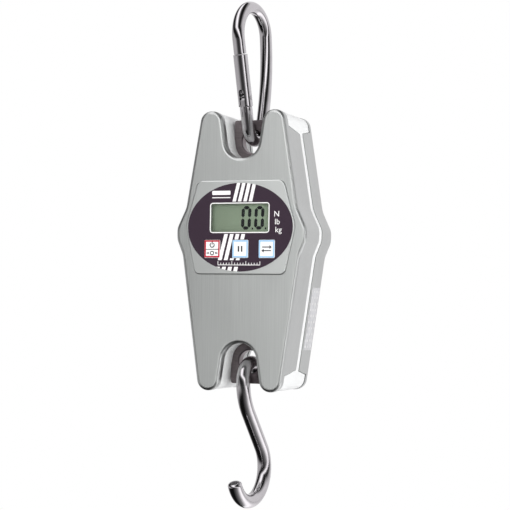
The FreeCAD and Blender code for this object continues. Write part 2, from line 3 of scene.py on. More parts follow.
import bmesh
import bpy
import numpy as np
from bpy.props import FloatProperty, FloatVectorProperty, IntProperty, PointerProperty
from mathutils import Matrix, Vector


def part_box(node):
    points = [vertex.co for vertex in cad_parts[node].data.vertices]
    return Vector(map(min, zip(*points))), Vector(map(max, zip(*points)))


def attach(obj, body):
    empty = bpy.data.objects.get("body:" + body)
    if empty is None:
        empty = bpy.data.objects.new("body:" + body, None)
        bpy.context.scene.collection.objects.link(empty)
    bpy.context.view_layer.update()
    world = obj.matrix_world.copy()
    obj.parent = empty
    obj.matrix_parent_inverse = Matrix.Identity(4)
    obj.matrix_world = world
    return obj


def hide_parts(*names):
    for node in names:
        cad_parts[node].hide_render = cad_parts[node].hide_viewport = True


bl_info = {
    "name": "Crane Scale",
    "version": (1, 0, 0),
    "blender": (4, 2, 0),
    "location": "View3D > Sidebar > Crane Scale",
    "description": "Dresses the CAD frame of a hanging crane scale with rods, prints, display and finishes",
    "category": "Add Mesh",
}

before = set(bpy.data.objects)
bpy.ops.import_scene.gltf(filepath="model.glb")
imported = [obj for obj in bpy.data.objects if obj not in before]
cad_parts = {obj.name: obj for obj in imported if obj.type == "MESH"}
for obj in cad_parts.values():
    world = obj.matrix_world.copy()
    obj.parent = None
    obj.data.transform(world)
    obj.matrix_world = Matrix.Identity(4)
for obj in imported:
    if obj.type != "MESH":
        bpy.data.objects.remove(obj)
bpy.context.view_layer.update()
MM = 0.001

# Housing coordinates in mm (X right, Y back from the face, Z up from mid height) to the row's origin.
HOUSING_ORIGIN = np.array([0.69587, -16.04866, -135.3])

# The rods lie in one upright plane through the load axis; s runs along it and z up.
LOAD_Y = 21.0
PLANE_DEG = 82.0
ACROSS = np.array([math.cos(math.radians(PLANE_DEG)), math.sin(math.radians(PLANE_DEG)), 0.0])
UP = np.array([0.0, 0.0, 1.0])
NORMAL = np.cross(ACROSS, UP)

# Carabiner: arcs as (s, z, radius), then distances up the front leg.
BIG_ARC = (-5.0, 122.5, 16.3)
SMALL_ARC = (-0.3, 71.5, 8.0)
BACK_BOW_R = 130.0
BACK_BOW_DEG = 8.0
PIVOT_UP = 17.5
GATE_ENDS = (12.5, 42.0)
GATE_GAP = 0.4
TONGUE_HALF = 1.3

# S hook: its eye arc, where the eye's tail starts, and the run from the eye down to the tip.
HOOK_EYE_ARC = (0.0, -72.7, 9.5)
HOOK_TAIL_DEG = -14.0
HOOK_RUN = (("arc", 30.0, 38.0), ("line", 26.0, 0.0), ("arc", -20.0, 38.0), ("arc", -17.4, 90.0),
            ("arc", -19.0, 68.0))

# Front panel, all as x and z in the housing's coordinates, with the y of each printed surface.
FILM_Y = -1.45
KEY_TOP_Y = -1.65
GLASS_Y = 1.2
KEY_CENTRES = {"key_power": -16.1, "key_hold": 0.7, "key_unit": 16.4}
KEY_SIZE = (9.4, 9.9)
KEY_Z = 0.7
OVAL = (0.2, 12.8, 31.2, 24.7)
WINDOW = (-17.2, 17.2, 10.1, 26.0)
WINDOW_FRAME = 1.1

# The studio faces the camera, this far round to the right of the housing's front.
STUDIO_DEG = 20.66
ROOM_STRENGTH = 1.9
FLOOR_Z = -0.5


# ---------------------------------------------------------------- colours and nodes
def linear(hex_colour):
    """sRGB hex such as "a0b1c2" to a linear RGBA tuple."""
    values = np.array([int(hex_colour[i:i + 2], 16) / 255 for i in (0, 2, 4)])
    low = values <= 0.04045
    values = np.where(low, values / 12.92, ((values + 0.055) / 1.055) ** 2.4)
    return (*[float(v) for v in values], 1.0)


def add(tree, kind, settings=None, **links):
    """Add a node. settings go to attributes or input sockets; links name input sockets."""
    node = tree.nodes.new(kind)
    for key, value in (settings or {}).items():
        if isinstance(key, int) or key in node.inputs:
            node.inputs[key].default_value = value
        else:
            setattr(node, key, value)
    for key, socket in links.items():
        name = key.replace("_", " ")
        target = node.inputs[int(key[1:])] if key[0] == "i" and key[1:].isdigit() else node.inputs[name]
        tree.links.new(socket, target)
    return node


def ramp(tree, fac, stops, interpolation="LINEAR"):
    """Colour ramp node from (position, colour) stops."""
    node = add(tree, "ShaderNodeValToRGB", Fac=fac)
    node.color_ramp.interpolation = interpolation
    while len(node.color_ramp.elements) < len(stops):
        node.color_ramp.elements.new(0.5)
    for element, (position, colour) in zip(node.color_ramp.elements, stops):
        element.position = position
        element.color = colour
    return node


def grey(value):
    """A neutral linear colour."""
    return (value, value, value, 1.0)


def new_material(name, colour, metallic, roughness, **settings):
    """Material with one Principled shader whose constant sockets are set directly."""
    material = bpy.data.materials.new(name)
    material.use_nodes = True
    shader = material.node_tree.nodes["Principled BSDF"]
    shader.inputs["Base Color"].default_value = (*colour[:3], 1.0)
    shader.inputs["Metallic"].default_value = metallic
    shader.inputs["Roughness"].default_value = roughness
    for key, value in settings.items():
        shader.inputs[key.replace("_", " ")].default_value = value
    return material, material.node_tree, shader


def object_vector(tree, scale):
    """Object coordinates in metres, scaled per axis."""
    coords = add(tree, "ShaderNodeTexCoord")
    return add(tree, "ShaderNodeMapping", {"Scale": scale}, Vector=coords.outputs["Object"]).outputs["Vector"]


def noise(tree, scale, detail, **settings):
    """Noise over object coordinates in metres, with one scale for each axis."""
    return add(tree, "ShaderNodeTexNoise", {"Scale": 1.0, "Detail": detail, **settings},
               Vector=object_vector(tree, scale))


def bump(tree, shader, height, strength, distance):
    """Bump from a height to the shader's normal, with its depth in metres."""
    node = add(tree, "ShaderNodeBump", {"Strength": strength, "Distance": distance}, Height=height)
    tree.links.new(node.outputs["Normal"], shader.inputs["Normal"])
    return node


def shade(colour, factor):
    """A linear colour made darker or lighter by a factor."""
    return (*[min(1.0, channel * factor) for channel in colour[:3]], 1.0)


def tint(tree, shader, fac, dark, light):
    """Base colour runs from dark to light with fac."""
    mix = ramp(tree, fac, [(0.0, dark), (1.0, light)])
    tree.links.new(mix.outputs["Color"], shader.inputs["Base Color"])


def rough_range(tree, shader, fac, low, high):
    """Roughness runs from low to high with fac."""
    node = add(tree, "ShaderNodeMapRange", {"To Min": low, "To Max": high}, Value=fac)
    tree.links.new(node.outputs["Result"], shader.inputs["Roughness"])


# ---------------------------------------------------------------- materials
def brushed_stainless(colour):
    """Stainless sheet, belt-brushed along its length: fine upright lines that spread highlights sideways.

    The raised pad round the display is finished with a finer belt, so it is smoother and a little paler.
    """
    material, tree, shader = new_material("brushed_stainless_sheet", colour, 1.0, 0.38)
    # grit lines are about 0.1 mm wide on the sheet; drawn at 0.5 mm so that they still show
    lines = noise(tree, (2000.0, 2000.0, 22.0), 4.0, Roughness=0.62)
    # slow tone changes a few centimetres across, where the belt pressed harder
    clouds = noise(tree, (38.0, 38.0, 14.0), 2.0)
    both = add(tree, "ShaderNodeMix", {"data_type": "FLOAT", 0: 0.42},
               i2=lines.outputs["Fac"], i3=clouds.outputs["Fac"])
    tone = ramp(tree, both.outputs[0], [(0.30, shade(colour, 0.88)), (0.70, shade(colour, 1.10))])
    depth = add(tree, "ShaderNodeSeparateXYZ", Vector=object_vector(tree, (1.0, 1.0, 1.0)))
    face_y = HOUSING_ORIGIN[1] * MM
    on_pad = add(tree, "ShaderNodeMapRange", {"From Min": face_y - 0.0004, "From Max": face_y - 0.0009},
                 Value=depth.outputs["Y"])
    paler = add(tree, "ShaderNodeMix", {"data_type": "RGBA", 7: shade(colour, 1.16)},
                i0=on_pad.outputs["Result"], i6=tone.outputs["Color"])
    tree.links.new(paler.outputs[2], shader.inputs["Base Color"])
    rough = add(tree, "ShaderNodeMapRange", {"To Min": 0.34, "To Max": 0.42}, Value=both.outputs[0])
    smooth = add(tree, "ShaderNodeMix", {"data_type": "FLOAT", 3: 0.34},
                 i0=on_pad.outputs["Result"], i2=rough.outputs["Result"])
    tree.links.new(smooth.outputs[0], shader.inputs["Roughness"])
    bump(tree, shader, lines.outputs["Fac"], 0.22, 0.00006)
    return material


def polished_stainless_rod(name, colour, roughness):
    """Stainless rod, drawn and tumble-polished: mirror bright with faint draw lines along the rod."""
    material, tree, shader = new_material(name, colour, 1.0, roughness)
    coords = add(tree, "ShaderNodeUVMap")
    # u runs once round the rod, v along it in metres; draw lines about 0.5 mm apart and 2 cm long
    lines = add(tree, "ShaderNodeTexNoise", {"Scale": 1.0, "Detail": 3.0},
                Vector=add(tree, "ShaderNodeMapping", {"Scale": (48.0, 45.0, 1.0)},
                           Vector=coords.outputs["UV"]).outputs["Vector"])
    specks = noise(tree, (260.0, 260.0, 260.0), 2.0)
    tint(tree, shader, specks.outputs["Fac"], shade(colour, 0.86), shade(colour, 1.1))
    rough_range(tree, shader, specks.outputs["Fac"], roughness * 0.8, roughness * 1.2)
    bump(tree, shader, lines.outputs["Fac"], 0.02, 0.00002)
    return material


def polished_stainless_part(colour):
    """Small stainless parts, turned and tumble-polished with the rods: bright, with fine scratches."""
    material, tree, shader = new_material("polished_stainless_part", colour, 1.0, 0.10)
    marks = noise(tree, (1500.0, 1500.0, 120.0), 3.0)
    tint(tree, shader, marks.outputs["Fac"], shade(colour, 0.86), shade(colour, 1.1))
    rough_range(tree, shader, marks.outputs["Fac"], 0.05, 0.16)
    bump(tree, shader, marks.outputs["Fac"], 0.08, 0.00003)
    return material


def turned_steel(name, colour, roughness):
    """Small steel hardware, turned or stamped and left bright: soft uneven shine."""
    material, tree, shader = new_material(name, colour, 1.0, roughness)
    marks = noise(tree, (900.0, 900.0, 900.0), 3.0)
    tint(tree, shader, marks.outputs["Fac"], shade(colour, 0.8), shade(colour, 1.15))
    rough_range(tree, shader, marks.outputs["Fac"], roughness - 0.08, roughness + 0.10)
    bump(tree, shader, marks.outputs["Fac"], 0.15, 0.00003)
    return material


def cell_steel_painted_dark():
    """Load cell plate, alloy steel, surface ground, with fine level lines, half matt; its dark base colour is a
    painted reflection of dark surroundings.
    """
    # painted reflection: this dark brownish grey stands in for the dark surroundings that the bright plate mirrors
    colour = linear("7d7577")
    material, tree, shader = new_material("alloy_steel_painted_reflection", colour, 1.0, 0.34)
    marks = noise(tree, (160.0, 400.0, 1400.0), 3.0)
    tint(tree, shader, marks.outputs["Fac"], shade(colour, 0.7), shade(colour, 1.3))
    rough_range(tree, shader, marks.outputs["Fac"], 0.26, 0.44)
    bump(tree, shader, marks.outputs["Fac"], 0.18, 0.00004)
    return material


def moulded_abs(name, colour, roughness, grain):
    """ABS, injection moulded in a spark-textured tool: even colour with a fine pebble."""
    material, tree, shader = new_material(name, colour, 0.0, roughness, Specular_IOR_Level=0.45)
    clouds = noise(tree, (30.0, 30.0, 30.0), 2.0)
    # spark texture is about 0.15 mm; drawn at 0.4 mm
    pebble = noise(tree, (2400.0, 2400.0, 2400.0), 2.0)
    tint(tree, shader, clouds.outputs["Fac"], shade(colour, 0.93), colour)
    rough_range(tree, shader, pebble.outputs["Fac"], roughness - 0.05, roughness + 0.08)
    bump(tree, shader, pebble.outputs["Fac"], grain, 0.00005)
    return material


def black_rubber():
    """EPDM rubber, moulded: matt black with a dusty bloom."""
    material, tree, shader = new_material("epdm_rubber", linear("1c1c1d"), 0.0, 0.75)
    bloom = noise(tree, (500.0, 500.0, 500.0), 4.0)
    tint(tree, shader, bloom.outputs["Fac"], linear("151516"), linear("2b2b2c"))
    bump(tree, shader, bloom.outputs["Fac"], 0.2, 0.00005)
    return material


def printed_film(name, colour, roughness=0.36):
    """Polyester film, back-printed with a velvet surface: flat ink colour under a faint orange peel."""
    material, tree, shader = new_material(name, colour, 0.0, roughness, Specular_IOR_Level=0.5)
    ink = noise(tree, (60.0, 60.0, 60.0), 2.0)
    peel = noise(tree, (1600.0, 1600.0, 1600.0), 1.0)
    tint(tree, shader, ink.outputs["Fac"], shade(colour, 0.92), shade(colour, 1.04))
    rough_range(tree, shader, peel.outputs["Fac"], roughness - 0.04, roughness + 0.06)
    bump(tree, shader, peel.outputs["Fac"], 0.12, 0.00003)
    return material


def window_trim(line, border):
    """Printed frame of the display window, polyester film: a thin pale line inside a dark border."""
    material, tree, shader = new_material("window_trim_film", line, 0.0, 0.4)
    place_on = add(tree, "ShaderNodeSeparateXYZ", Vector=object_vector(tree, (1000.0, 1000.0, 1000.0)))
    x0, x1, z0, z1 = WINDOW
    corner = 1.2
    outside = []
    for axis, socket, low, high in ((0, "X", x0, x1), (2, "Z", z0, z1)):
        middle = (low + high) / 2 + float(HOUSING_ORIGIN[axis])
        off = add(tree, "ShaderNodeMath", {"operation": "SUBTRACT", 1: middle}, i0=place_on.outputs[socket])
        away = add(tree, "ShaderNodeMath", {"operation": "ABSOLUTE"}, i0=off.outputs[0])
        outside.append(add(tree, "ShaderNodeMath", {"operation": "SUBTRACT", 1: (high - low) / 2 - corner},
                           i0=away.outputs[0]))
    # distance out from the window's edge, rounded at its corners; the line is 0.5 mm wide
    offset = add(tree, "ShaderNodeCombineXYZ", X=outside[0].outputs[0], Y=outside[1].outputs[0])
    beyond = add(tree, "ShaderNodeVectorMath", {"operation": "MAXIMUM", 1: (0.0, 0.0, 0.0)},
                 i0=offset.outputs["Vector"])
    reach = add(tree, "ShaderNodeVectorMath", {"operation": "LENGTH"}, i0=beyond.outputs["Vector"])
    edge = add(tree, "ShaderNodeMath", {"operation": "SUBTRACT", 1: corner}, i0=reach.outputs["Value"])
    colours = ramp(tree, edge.outputs[0], [(0.0, line), (0.45, line), (0.60, border)])
    tree.links.new(colours.outputs["Color"], shader.inputs["Base Color"])
    return material


def printed_label(colour, ink):
    """White polyester label stock, thermal printed: matt, with rows of short grey bars where data would be."""
    material, tree, shader = new_material("printed_label_stock", colour, 0.0, 0.55)
    coords = add(tree, "ShaderNodeTexCoord")
    parts = add(tree, "ShaderNodeSeparateXYZ", Vector=coords.outputs["Object"])
    turned = add(tree, "ShaderNodeCombineXYZ", X=parts.outputs["Z"], Y=parts.outputs["Y"])
    # rows 2.2 mm apart along the label, in bars up to 7 mm long
    rows = add(tree, "ShaderNodeTexBrick",
               {"Scale": 1000.0, "Mortar Size": 0.62, "Mortar Smooth": 0.05, "Brick Width": 7.0, "Row Height": 2.2,
                "Color1": ink, "Color2": shade(ink, 1.4), "Mortar": (*colour[:3], 1.0)},
               Vector=turned.outputs["Vector"])
    tree.links.new(rows.outputs["Color"], shader.inputs["Base Color"])
    return material


def reflective_lcd(colour):
    """Twisted-nematic liquid crystal on a grey-green reflector, with a faint fibre grain, painted shade that darkens
    it to the left and painted light that brightens it to the right.
    """
    material, tree, shader = new_material("reflective_lcd", colour, 0.0, 0.42)
    grain = noise(tree, (900.0, 900.0, 900.0), 2.0)
    coords = add(tree, "ShaderNodeTexCoord")
    parts = add(tree, "ShaderNodeSeparateXYZ", Vector=coords.outputs["Object"])
    # painted shade and painted light: the same colour is drawn darker at the display's left end and paler at its
    # right end
    painted_light_slope = add(tree, "ShaderNodeMapRange", {"From Min": -0.017, "From Max": 0.018}, Value=parts.outputs["X"])
    mixed = add(tree, "ShaderNodeMix", {"data_type": "FLOAT", 0: 0.12},
                i2=painted_light_slope.outputs["Result"], i3=grain.outputs["Fac"])
    tone = ramp(tree, mixed.outputs[0], [(0.0, shade(colour, 0.84)), (0.45, shade(colour, 1.0)),
                                         (1.0, shade(colour, 1.3))])
    tree.links.new(tone.outputs["Color"], shader.inputs["Base Color"])
    return material


def clear_acrylic():
    """PMMA window, cast sheet: clear, with weak reflections."""
    material, tree, shader = new_material("clear_acrylic", grey(0.05), 0.0, 0.05, IOR=1.49, Alpha=0.06)
    haze = noise(tree, (400.0, 400.0, 400.0), 1.0)
    rough_range(tree, shader, haze.outputs["Fac"], 0.03, 0.08)
    return material


def green_board():
    """FR4 board with green solder mask: copper tracks show paler under the lacquer."""
    material, tree, shader = new_material("fr4_solder_mask", linear("1d5a35"), 0.0, 0.32)
    # track spacing 3.8 mm
    tracks = add(tree, "ShaderNodeTexBrick", {"Scale": 1.0, "Mortar Size": 0.03, "Color1": linear("1d5a35"),
                                              "Color2": linear("184d2d"), "Mortar": linear("2f7a4c")},
                 Vector=object_vector(tree, (260.0, 260.0, 260.0)))
    tree.links.new(tracks.outputs["Color"], shader.inputs["Base Color"])
    return material


def shrink_sleeve():
    """Shrink sleeve of a dry cell, printed film: dark blue with a copper-coloured band."""
    blue, copper = linear("1f3f6b"), linear("b07a45")
    material, tree, shader = new_material("shrink_sleeve", blue, 0.1, 0.28)
    low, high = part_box("battery_cells")
    coords = add(tree, "ShaderNodeTexCoord")
    parts = add(tree, "ShaderNodeSeparateXYZ", Vector=coords.outputs["Object"])
    height = add(tree, "ShaderNodeMapRange", {"From Min": low.z, "From Max": high.z}, Value=parts.outputs["Z"])
    bands = ramp(tree, height.outputs["Result"], [(0.0, blue), (0.72, blue), (0.73, copper), (1.0, copper)],
                 "CONSTANT")
    tree.links.new(bands.outputs["Color"], shader.inputs["Base Color"])
    return material


def gauge_foil():
    """Strain gauge carrier, polyimide film: amber, glossy, with the foil grid showing through."""
    material, tree, shader = new_material("polyimide_gauge_film", linear("b9873a"), 0.0, 0.3)
    # grid pitch 0.4 mm
    grid = add(tree, "ShaderNodeTexWave", {"Scale": 400.0, "Distortion": 0.0},
               Vector=object_vector(tree, (1.0, 1.0, 1.0)))
    tint(tree, shader, grid.outputs["Fac"], linear("8c5f22"), linear("d09c4c"))
    return material


# ---------------------------------------------------------------- mesh builders
def place(points):
    """Housing millimetres to row metres."""
    return (np.asarray(points, float) + HOUSING_ORIGIN) * MM


def mesh_object(name, points, faces, uvs=None, smooth=True):
    """Object at the origin from points in housing mm and a list of faces, turned to face outwards."""
    mesh = bpy.data.meshes.new(name)
    mesh.from_pydata(place(points).tolist(), [], [tuple(map(int, face)) for face in faces])
    mesh.validate()
    if uvs is not None:
        layer = mesh.uv_layers.new(name="UVMap")
        index = np.zeros(len(mesh.loops), np.int32)
        mesh.loops.foreach_get("vertex_index", index)
        layer.data.foreach_set("uv", np.asarray(uvs, np.float32)[index].ravel())
    shell = bmesh.new()
    shell.from_mesh(mesh)
    bmesh.ops.recalc_face_normals(shell, faces=shell.faces)
    shell.to_mesh(mesh)
    shell.free()
    mesh.polygons.foreach_set("use_smooth", np.full(len(mesh.polygons), smooth))
    mesh.update()
    piece = bpy.data.objects.new(name, mesh)
    bpy.context.scene.collection.objects.link(piece)
    return piece


def finish_piece(piece, material, body):
    """Give a new piece its material and its body."""
    piece.data.materials.clear()
    piece.data.materials.append(material)
    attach(piece, body)


def dress(material, *nodes):
    """Give CAD nodes a material."""
    for node in nodes:
        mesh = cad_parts[node].data
        mesh.materials.clear()
        mesh.materials.append(material)


def grid_faces(rows, columns, wrap=False):
    """Quads of a rows x columns point grid, the columns closed on themselves when wrap is set."""
    i = np.arange(rows - 1)[:, None]
    j = np.arange(columns if wrap else columns - 1)[None, :]
    k = (j + 1) % columns
    a, b = i * columns + j, i * columns + k
    c, d = (i + 1) * columns + k, (i + 1) * columns + j
    return np.stack([a, b, c, d], -1).reshape(-1, 4)


# ---------------------------------------------------------------- paths in the load plane
def plane_points(s, z):
    """Points of the load plane: the plane's origin plus s along it and z up."""
    s, z = np.asarray(s, float), np.asarray(z, float)
    return np.array([0.0, LOAD_Y, 0.0]) + s[..., None] * ACROSS + z[..., None] * UP


def arc(cs, cz, radius, start, end):
    """Arc in the plane: centre plus radius times (cos, sin) of an angle that runs from start to end."""
    a = np.radians(np.linspace(start, end, max(3, int(abs(end - start)) + 1)))
    return np.stack([cs + radius * np.cos(a), cz + radius * np.sin(a)], -1)


def on_circle(circle, deg):
    """The point of a circle (s, z, radius) at one angle."""
    return arc(*circle, deg, deg)[0]


def tangent_angle(first, second, side):
    """Direction from both centres to the outer tangent line on one side, in degrees."""
    ds, dz = second[0] - first[0], second[1] - first[1]
    spread = math.degrees(math.acos((first[2] - second[2]) / math.hypot(ds, dz)))
    return math.degrees(math.atan2(dz, ds)) + side * spread


def bow_circle():
    """Circle of the bowed back leg, tangent to the big arc where the bow starts."""
    a = math.radians(BACK_BOW_DEG)
    reach = BACK_BOW_R - BIG_ARC[2]
    return (BIG_ARC[0] - reach * math.cos(a), BIG_ARC[1] - reach * math.sin(a), BACK_BOW_R)


FRONT_DEG = tangent_angle(BIG_ARC, SMALL_ARC, -1)
BACK_DEG = tangent_angle(bow_circle(), SMALL_ARC, 1)
FRONT_LOW = on_circle(SMALL_ARC, FRONT_DEG)
FRONT_HIGH = on_circle(BIG_ARC, FRONT_DEG)
LEG = (FRONT_HIGH - FRONT_LOW) / np.linalg.norm(FRONT_HIGH - FRONT_LOW)
PIVOT = FRONT_LOW + LEG * PIVOT_UP


def carabiner_path():
    """Nose, up the front leg, over the big arc, down the bowed back leg, round and up to the gate's foot."""
    nose = FRONT_LOW + LEG * (GATE_ENDS[1] + GATE_GAP)
    foot = FRONT_LOW + LEG * (GATE_ENDS[0] - GATE_GAP)
    return np.concatenate([[nose], arc(*BIG_ARC, FRONT_DEG + 360, BACK_BOW_DEG),
                           arc(*bow_circle(), BACK_BOW_DEG, BACK_DEG), arc(*SMALL_ARC, BACK_DEG, FRONT_DEG), [foot]])


def hook_path():
    """Eye from its hidden tail round to the front, then the run of lines and arcs down to the tip."""
    parts = [arc(*HOOK_EYE_ARC, HOOK_TAIL_DEG, 180.0)]
    end, heading = parts[0][-1], -90.0
    for kind, size, turn in HOOK_RUN:
        h = math.radians(heading)
        if kind == "line":
            part = np.array([end, end + size * np.array([math.cos(h), math.sin(h)])])
        else:
            side = math.copysign(1.0, size)
            centre = end + size * np.array([-math.sin(h), math.cos(h)])
            part = arc(*centre, abs(size), heading - 90 * side, heading - 90 * side + side * turn)
            heading += side * turn
        parts.append(part)
        end = part[-1]
    return np.concatenate(parts)


def rod(name, path, radius, edge, reaches=(None, None), around=64, step=0.7):
    """Round bar along a path of (s, z) points in the load plane.

    A point is path(l) + r(l) (cos a N + sin a B), with N the path's normal in the plane and B the plane's own.
    At each end r(l) follows a quarter circle of radius edge, and a flat disc closes it. A reach bends that end
    to a cylinder about the gate's pivot: a point x off the centre line moves towards the pivot by
    reach - sqrt(reach^2 - x^2), fading out within 3 mm. u runs round the bar and v along it in metres.
    """
    lengths = np.concatenate([[0.0], np.cumsum(np.linalg.norm(np.diff(path, axis=0), axis=1))])
    keep = np.concatenate([[True], np.diff(lengths) > 1e-6])
    path, lengths = path[keep], lengths[keep]
    total = lengths[-1]
    quarter = np.radians(np.linspace(0, 90, 8))
    cap_l = np.concatenate([[0.0], edge * (1 - np.cos(quarter))])
    cap_r = np.concatenate([[(radius - edge) / 2], radius - edge + edge * np.sin(quarter)])
    body_l = np.linspace(edge, total - edge, int(total / step))[1:-1]
    along = np.concatenate([cap_l, body_l, total - cap_l[::-1]])
    r = np.concatenate([cap_r, np.full(len(body_l), radius), cap_r[::-1]])[:, None]
    fine = np.linspace(0, total, int(total / 0.1))
    centres = np.stack([np.interp(fine, lengths, path[:, i]) for i in (0, 1)], -1)
    slopes = np.gradient(centres, axis=0)
    slopes /= np.linalg.norm(slopes, axis=1)[:, None]
    at = [np.interp(along, fine, column)[:, None] for column in (*centres.T, *slopes.T)]
    a = np.linspace(0, 2 * np.pi, around, endpoint=False)[None, :]
    side = r * np.cos(a)
    s, z = at[0] - at[3] * side, at[1] + at[2] * side
    for reach, end, distance in zip(reaches, (path[0], path[-1]), (along, total - along)):
        if reach:
            towards = (PIVOT - end) / np.linalg.norm(PIVOT - end)
            fade = np.clip(1 - distance / 3.0, 0, 1)[:, None]
            shift = (reach - np.sqrt(reach ** 2 - side ** 2)) * fade
            s, z = s + shift * towards[0], z + shift * towards[1]
    points = plane_points(s, z) + (r * np.sin(a))[..., None] * NORMAL
    rows = len(along)
    faces = [*grid_faces(rows, around, wrap=True), range(around), range((rows - 1) * around, rows * around)]
    uvs = np.stack(np.broadcast_arrays(a / (2 * np.pi), along[:, None] * MM), -1).reshape(-1, 2)
    # the mesh is closed round the bar, so u folds back halfway to leave no seam
    uvs[:, 0] = 1 - np.abs(2 * uvs[:, 0] - 1)
    return mesh_object(name, points.reshape(-1, 3), faces, uvs)


def tongue_plate(name, half, foot):
    """Flat end of the carabiner body between the gate's cheeks.

    Its outline is straight sides and a half circle about the pivot, carried across the plane by half each way.
    """
    inward = np.array([LEG[1], -LEG[0]])
    a = np.radians(np.linspace(0, 180, 25))
    x = np.concatenate([2.6 * np.cos(a), [-3.3, -3.3, 3.3, 3.3]])
    up = np.concatenate([2.6 * np.sin(a), [-1.0, -foot, -foot, -1.0]])
    flat = PIVOT + x[:, None] * inward + up[:, None] * LEG
    near, far = [plane_points(*flat.T) + side * half * NORMAL for side in (-1, 1)]
    return mesh_object(name, *prism(near, far), smooth=False)


def prism(near, far, base=0):
    """Points and faces of the closed solid between two matching outlines."""
    n = len(near)
    ring = base + np.arange(n)
    after = np.roll(ring, -1)
    walls = np.stack([ring, ring + n, after + n, after], -1)
    return np.concatenate([near, far]), [ring, ring[::-1] + n, *walls]


# ---------------------------------------------------------------- flat prints
def plates(name, outlines, front, back):
    """Thin flat shapes: each outline of (x, z) points is carried straight back from y front to y back."""
    points, faces, base = [], [], 0
    for outline in outlines:
        outline = np.asarray(outline, float)
        ends = [np.insert(outline, 1, y, axis=1) for y in (front, back)]
        solid, solid_faces = prism(*ends, base)
        points.append(solid)
        faces += solid_faces
        base += len(solid)
    return mesh_object(name, np.concatenate(points), faces, smooth=False)


def bar(x0, x1, z0, z1):
    """Rectangle."""
    return [(x0, z0), (x1, z0), (x1, z1), (x0, z1)]


def round_bar(x0, x1, z0, z1, r):
    """Rectangle with quarter circles of radius r at its corners."""
    corners = ((x1 - r, z1 - r, 0), (x0 + r, z1 - r, 90), (x0 + r, z0 + r, 180), (x1 - r, z0 + r, 270))
    return np.concatenate([arc(x, z, r, start, start + 90)[::6] for x, z, start in corners])


def arc_band(x, z, radius, width, start, end):
    """Part of a ring: an outer arc and an inner arc back."""
    return np.concatenate([arc(x, z, radius, start, end)[::6], arc(x, z, radius - width, end, start)[::6]])


def frame_bars(x0, x1, z0, z1, width):
    """Four mitred sides of a rectangular frame."""
    outer = np.array(bar(x0, x1, z0, z1))
    inner = np.array(bar(x0 + width, x1 - width, z0 + width, z1 - width))
    return [[outer[i], outer[(i + 1) % 4], inner[(i + 1) % 4], inner[i]] for i in range(4)]


def seven_segments(x, z, width, height, stroke, lit, slant):
    """Six-sided segments of one digit.

    The segments a to g are bars between the digit's corner points with pointed ends, each moved sideways by
    slant times its height.
    """
    half = height / 2
    gap = 0.16
    runs = {"a": (0, height, 1, 0), "b": (width, half, 0, 1), "c": (width, 0, 0, 1), "d": (0, 0, 1, 0),
            "e": (0, 0, 0, 1), "f": (0, half, 0, 1), "g": (0, half, 1, 0)}
    outlines = []
    for letter in lit:
        px, pz, level, upright = runs[letter]
        length = width if level else half
        t, w = np.array([(gap, 0), (gap + stroke / 2, 0.5), (length - gap - stroke / 2, 0.5), (length - gap, 0),
                         (length - gap - stroke / 2, -0.5), (gap + stroke / 2, -0.5)]).T
        w = w * stroke
        outline = np.stack([px + level * t + upright * w, pz + upright * t + level * w], -1)
        outline[:, 0] += slant * outline[:, 1]
        outlines.append(outline + [x, z])
    return outlines


def lettering(name, words, front, back):
    """Words as one mesh: each is (text, size, x, z), centred there, in the built-in plain font."""
    meshes = []
    for text, size, x, z in words:
        curve = bpy.data.curves.new(name, "FONT")
        curve.body = text
        curve.size = size
        curve.resolution_u = 3
        curve.align_x = "CENTER"
        curve.align_y = "CENTER"
        curve.extrude = (back - front) / 2
        maker = bpy.data.objects.new(name, curve)
        bpy.context.scene.collection.objects.link(maker)
        bpy.context.view_layer.update()
        mesh = bpy.data.meshes.new_from_object(maker.evaluated_get(bpy.context.evaluated_depsgraph_get()))
        bpy.data.objects.remove(maker)
        flat = np.zeros(len(mesh.vertices) * 3)
        mesh.vertices.foreach_get("co", flat)
        flat = flat.reshape(-1, 3)
        upright = np.column_stack([x + flat[:, 0], (front + back) / 2 - flat[:, 2], z + flat[:, 1]])
        meshes.append((upright, [tuple(face.vertices) for face in mesh.polygons]))
        bpy.data.meshes.remove(mesh)
    starts = np.cumsum([0] + [len(points) for points, _ in meshes])
    faces = [[i + start for i in face] for start, (_, part) in zip(starts, meshes) for face in part]
    return mesh_object(name, np.concatenate([points for points, _ in meshes]), faces, smooth=False)


def oval_z(x, side):
    """Height of the oval's edge over x, on its upper (1) or lower (-1) side."""
    cx, cz, half_x, half_z = OVAL
    return cz + side * half_z * np.sqrt(np.clip(1 - ((x - cx) / half_x) ** 2, 0, 1))


def stripe(index, count, low, high):
    """One stripe of a slanted group that widens a little downwards, between two heights or the oval's edge.

    Its edges are straight lines x = a + b z, and low or high of None means the oval's own edge.
    """
    pitch = 1.6
    group = (count - 1) * pitch + 1
    fractions = np.linspace(index * pitch / group, (index * pitch + 1) / group, 5)

    def x_at(z):
        return (-11.15 + 0.25 * z) * (1 - fractions) + (1.55 + 0.215 * z) * fractions

    ends = []
    for level, side in ((low, -1), (high, 1)):
        z = np.full(5, OVAL[1] + side * OVAL[3] if level is None else level)
        if level is None:
            for _ in range(4):
                z = oval_z(x_at(z), side) - side * 0.05
        ends.append(np.stack([x_at(z), z], -1))
    return np.concatenate([ends[0], ends[1][::-1]])


